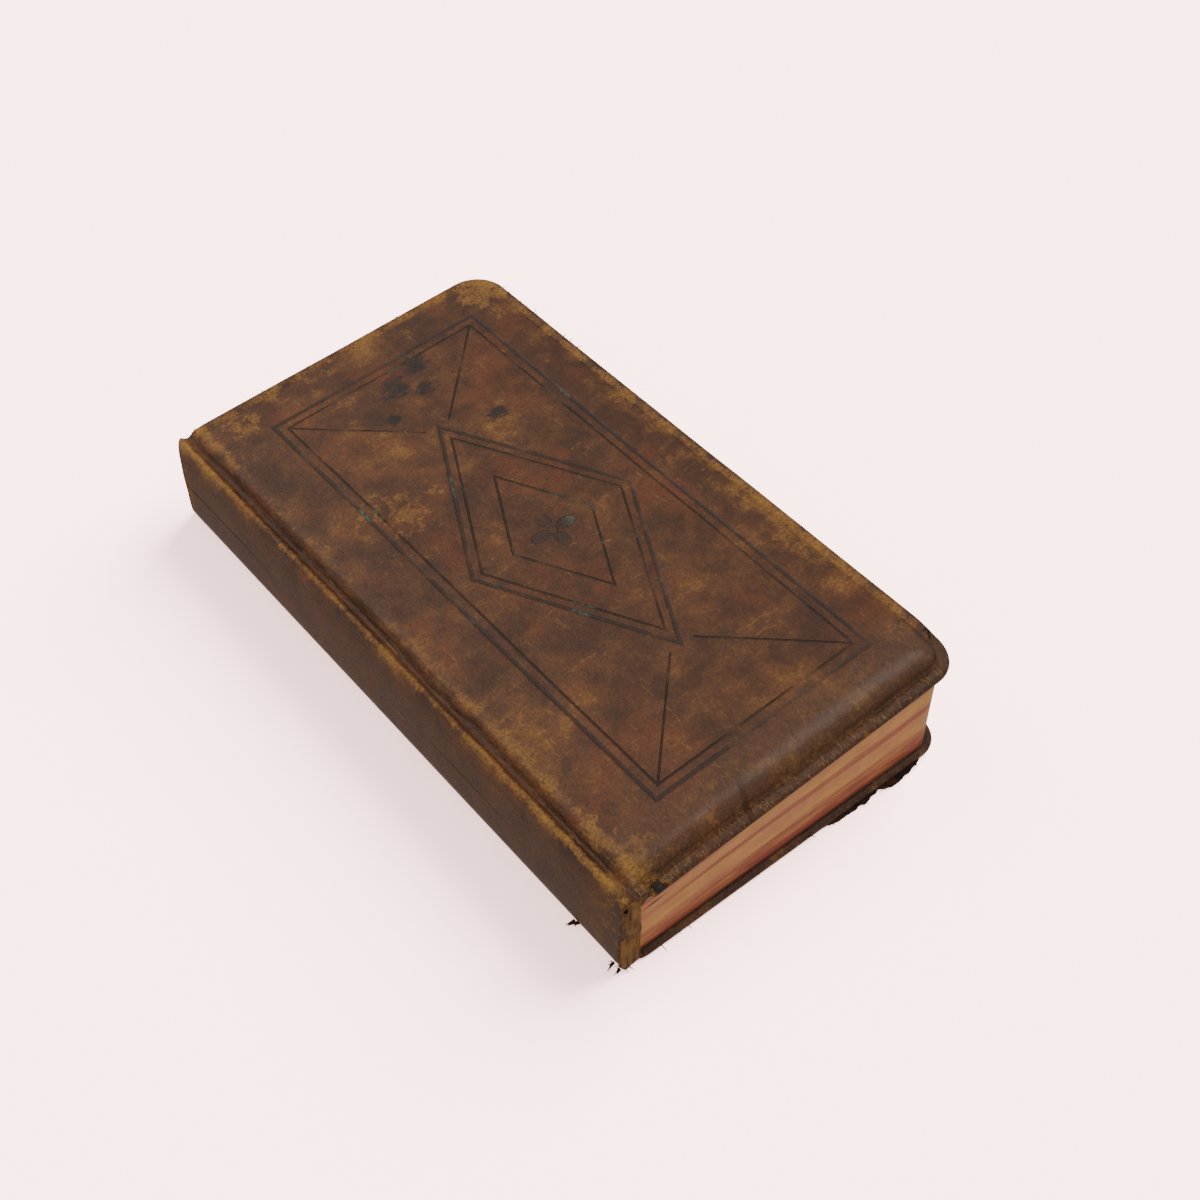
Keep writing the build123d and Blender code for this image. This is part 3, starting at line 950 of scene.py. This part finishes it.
class BOOK_OT_frays(bpy.types.Operator):
    """Makes the frayed tufts and torn scraps along the worn edges"""

    bl_idname = "book.frays"
    bl_label = "Frays"

    def execute(self, context):
        longest = context.scene.book_sizes.fray / MM
        chance = np.random.default_rng(7)
        for name, body, height, edges in FRAYED_EDGES:
            points, faces = [], []
            for start, end, count in edges:
                for share in np.sort(chance.random(count)):
                    x, y = np.array(start) + (np.array(end) - start) * share
                    first = len(points)
                    points += tuft(chance, x, y, height, longest)
                    last = len(points) - 2
                    faces += [[k, k + 1, k + 3, k + 2] for k in range(first, last, 2)]
            piece = fray_piece(name, points, faces, 0.12)
            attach(piece, body)
        piece = fray_piece("torn_scrap", *torn_strip(), 0.5)
        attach(piece, "back_cover")
        return {"FINISHED"}


class BOOK_OT_leaves(bpy.types.Operator):
    """Finishes the leaves, endpapers, boards and cloth of the frame"""

    bl_idname = "book.leaves"
    bl_label = "Leaves and linings"

    def execute(self, context):
        made = finishes()
        dressed = {
            "page_edges": ("text_block",),
            "endpaper_paper": ("front_flyleaf", "back_flyleaf", "front_pastedown", "back_pastedown"),
            "pressed_board": ("front_board", "back_board", "spine_inlay", "spine_hollow"),
            "mull_cloth": ("spine_mull", "sewing_tapes", "front_mull_flange", "back_mull_flange"),
        }
        for finish, nodes in dressed.items():
            for node in nodes:
                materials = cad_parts[node].data.materials
                materials.clear()
                materials.append(made[finish])
        return {"FINISHED"}


class BOOK_OT_hinges(bpy.types.Operator):
    """Makes the folds of the endpapers, from each flyleaf round to its pastedown"""

    bl_idname = "book.hinges"
    bl_label = "Endpaper folds"

    def execute(self, context):
        fold = PAGES_LOW.x + 2.3
        reach = PASTE_LOW.x + 1.4
        tilt = Vector((-SLOPE, 0, 1)).normalized()
        folds = (
            ("front_endpaper_fold", "front_cover", lambda x: inner_plane(x) - PAPER_LIFT, 1, tilt),
            ("back_endpaper_fold", "back_cover", lambda x: BACK_TOP + PAPER_LIFT, -1, Vector((0, 0, 1))),
        )
        ys = np.linspace(PASTE_LOW.y, PASTE_HIGH.y, 60)
        for name, body, leaf, side, up in folds:
            leaves = (reach, fold + 1.5, fold)
            runs = [(x, 0.0) for x in leaves] + [(x, PAPER_GAP) for x in leaves[::-1]]
            points = [(x, y, leaf(x) + side * step) for y in ys for x, step in runs]
            faces = grid_faces(len(ys), len(runs), side < 0)
            piece = make_mesh(name, points, faces, finishes()["endpaper_paper"], smooth=False)
            at = Vector((fold, 0, leaf(fold)))
            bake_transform(piece)
        return {"FINISHED"}


class BOOK_OT_wadding(bpy.types.Operator):
    """Makes the wadding under the front cover's leather"""

    bl_idname = "book.wadding"
    bl_label = "Wadding"

    def execute(self, context):
        low, high = (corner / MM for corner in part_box("front_padding"))
        corner_x, corner_y = high.x - WADDING_CORNER, high.y - WADDING_CORNER
        xs = spaced([(low.x, low.x + 6, 1.0), (low.x + 6, corner_x, 4.0), (corner_x, high.x, 1.0)])
        ys = spaced([(low.y, low.y + 10, 1.0), (low.y + 10, corner_y, 5.0), (corner_y, high.y, 1.0)])
        x, y = (g.ravel() for g in np.meshgrid(xs, ys))
        inset = np.minimum.reduce([(x - low.x) * 2.2, high.x - x, y - low.y, high.y - y])
        middle = (low.y + high.y) / 2
        round_x = np.maximum(x - corner_x, 0)
        round_y = np.maximum(np.abs(y - middle) - (high.y - middle - WADDING_CORNER), 0)
        squeeze = np.maximum(round_x, round_y) / np.maximum(np.hypot(round_x, round_y), 1e-9)
        in_corner = round_x * round_y > 0
        x = np.where(in_corner, x + round_x * (squeeze - 1), x)
        y = np.where(in_corner, y + np.sign(y - middle) * round_y * (squeeze - 1), y)
        pad = np.sqrt(np.maximum(1 - (1 - np.clip(inset / 9.4, 0, 1)) ** 2, 0))
        floor = inner_plane(x) + WADDING_BASE
        top = floor + WADDING_LOFT * pad + 0.12 * wander(along(x, y), 6, 21) * pad
        n = len(x)
        upper = grid_faces(len(ys), len(xs), False)
        lower = grid_faces(len(ys), len(xs), True)
        points = np.vstack([np.column_stack([x, y, top + 0.02]), np.column_stack([x, y, floor])])
        width = len(xs)
        rim = np.concatenate([
            np.arange(width), np.arange(1, len(ys)) * width + width - 1,
            n - 2 - np.arange(width - 1), np.arange(len(ys) - 2, 0, -1) * width,
        ])
        walls = [[a, a + n, b + n, b] for a, b in zip(rim, np.roll(rim, -1))]
        faces = [*upper.tolist(), *(lower + n).tolist(), *walls]
        piece = make_mesh("front_wadding", points, faces, finishes()["cotton_wadding"])
        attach(piece, "front_cover")
        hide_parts("front_padding")
        return {"FINISHED"}


class BOOK_OT_stage(bpy.types.Operator):
    """Makes the floor, the lights and the camera"""

    bl_idname = "book.stage"
    bl_label = "Stage"

    def execute(self, context):
        stage = context.scene.book_stage
        f = Finish("floor", Roughness=0.9, Specular_IOR_Level=0.1)
        f.set(Base_Color=stage.floor, Emission_Color=stage.glow, Emission_Strength=stage.glow_power)
        size = 2500.0
        points = [(-size, -size, 0), (size, -size, 0), (size, size, 0), (-size, size, 0)]
        floor = make_mesh("floor", np.array(points) - (0, 0, 0.05), [(0, 1, 2, 3)], f.material)
        floor.visible_diffuse = False
        floor.visible_glossy = False
        world = bpy.data.worlds.new("room")
        world.use_nodes = True
        sky = world.node_tree.nodes["Background"]
        sky.inputs["Color"].default_value = (1.0, 0.985, 0.98, 1.0)
        sky.inputs["Strength"].default_value = stage.fill
        context.scene.world = world
        lights = (
            ("key", (-0.25, 0.55, 0.95), 0.8, stage.key),
            ("side", (-0.9, -0.35, 0.6), 0.7, stage.key * 0.20),
            ("roll", (0.46, -0.24, 0.90), 0.42, stage.key * 0.42),
        )
        for name, place, width, power in lights:
            data = bpy.data.lights.new(name, "AREA")
            data.size, data.energy = width, power
            placed(name, data, place, -Vector(place))
        data = bpy.data.lights.new("floor_wash", "SUN")
        data.energy, data.angle = stage.wash, math.radians(48)
        data.color = (1.0, 0.72, 0.70)
        wash = placed("floor_wash", data, aim=Vector((-1.10, -0.10, -1.0)))
        lit = bpy.data.collections.new("floor_only")
        lit.objects.link(floor)
        wash.light_linking.receiver_collection = lit
        data = bpy.data.cameras.new("camera")
        data.sensor_width, data.lens = 36.0, stage.lens
        down, turn = math.radians(47.859), math.radians(50.742)
        level = math.cos(down)
        look = Vector((level * math.cos(turn), level * math.sin(turn), -math.sin(down)))
        context.scene.camera = placed("camera", data, (-0.17304, -0.23371, 0.32872), look)
        return {"FINISHED"}


# ---- add-on ----

PIECES = (
    BOOK_OT_stage, BOOK_OT_leaves, BOOK_OT_hinges, BOOK_OT_wadding, BOOK_OT_covering,
    BOOK_OT_spine_ends, BOOK_OT_frays,
)
GROUPS = {"book_sizes": BookSizes, "book_colours": BookColours, "book_stage": StageSettings}


class BOOK_PT_panel(bpy.types.Panel):
    """Buttons for each part of the book"""

    bl_label = "Leather Book"
    bl_idname = "BOOK_PT_panel"
    bl_space_type = "VIEW_3D"
    bl_region_type = "UI"
    bl_category = "Leather Book"

    def draw(self, context):
        for piece in PIECES:
            self.layout.operator(piece.bl_idname)
        for group, kind in GROUPS.items():
            box = self.layout.box()
            for name in kind.__annotations__:
                box.prop(getattr(context.scene, group), name)


def register():
    for kind in (*GROUPS.values(), *PIECES, BOOK_PT_panel):
        bpy.utils.register_class(kind)
    for name, kind in GROUPS.items():
        setattr(bpy.types.Scene, name, bpy.props.PointerProperty(type=kind))


def unregister():
    for name in GROUPS:
        delattr(bpy.types.Scene, name)
    for kind in reversed((*GROUPS.values(), *PIECES, BOOK_PT_panel)):
        bpy.utils.unregister_class(kind)


def main():
    register()
    bpy.ops.book.stage()
    bpy.ops.book.leaves()
    bpy.ops.book.hinges()
    bpy.ops.book.wadding()
    bpy.ops.book.covering()
    bpy.ops.book.spine_ends()
    bpy.ops.book.frays()


if __name__ == "__main__":
    main()
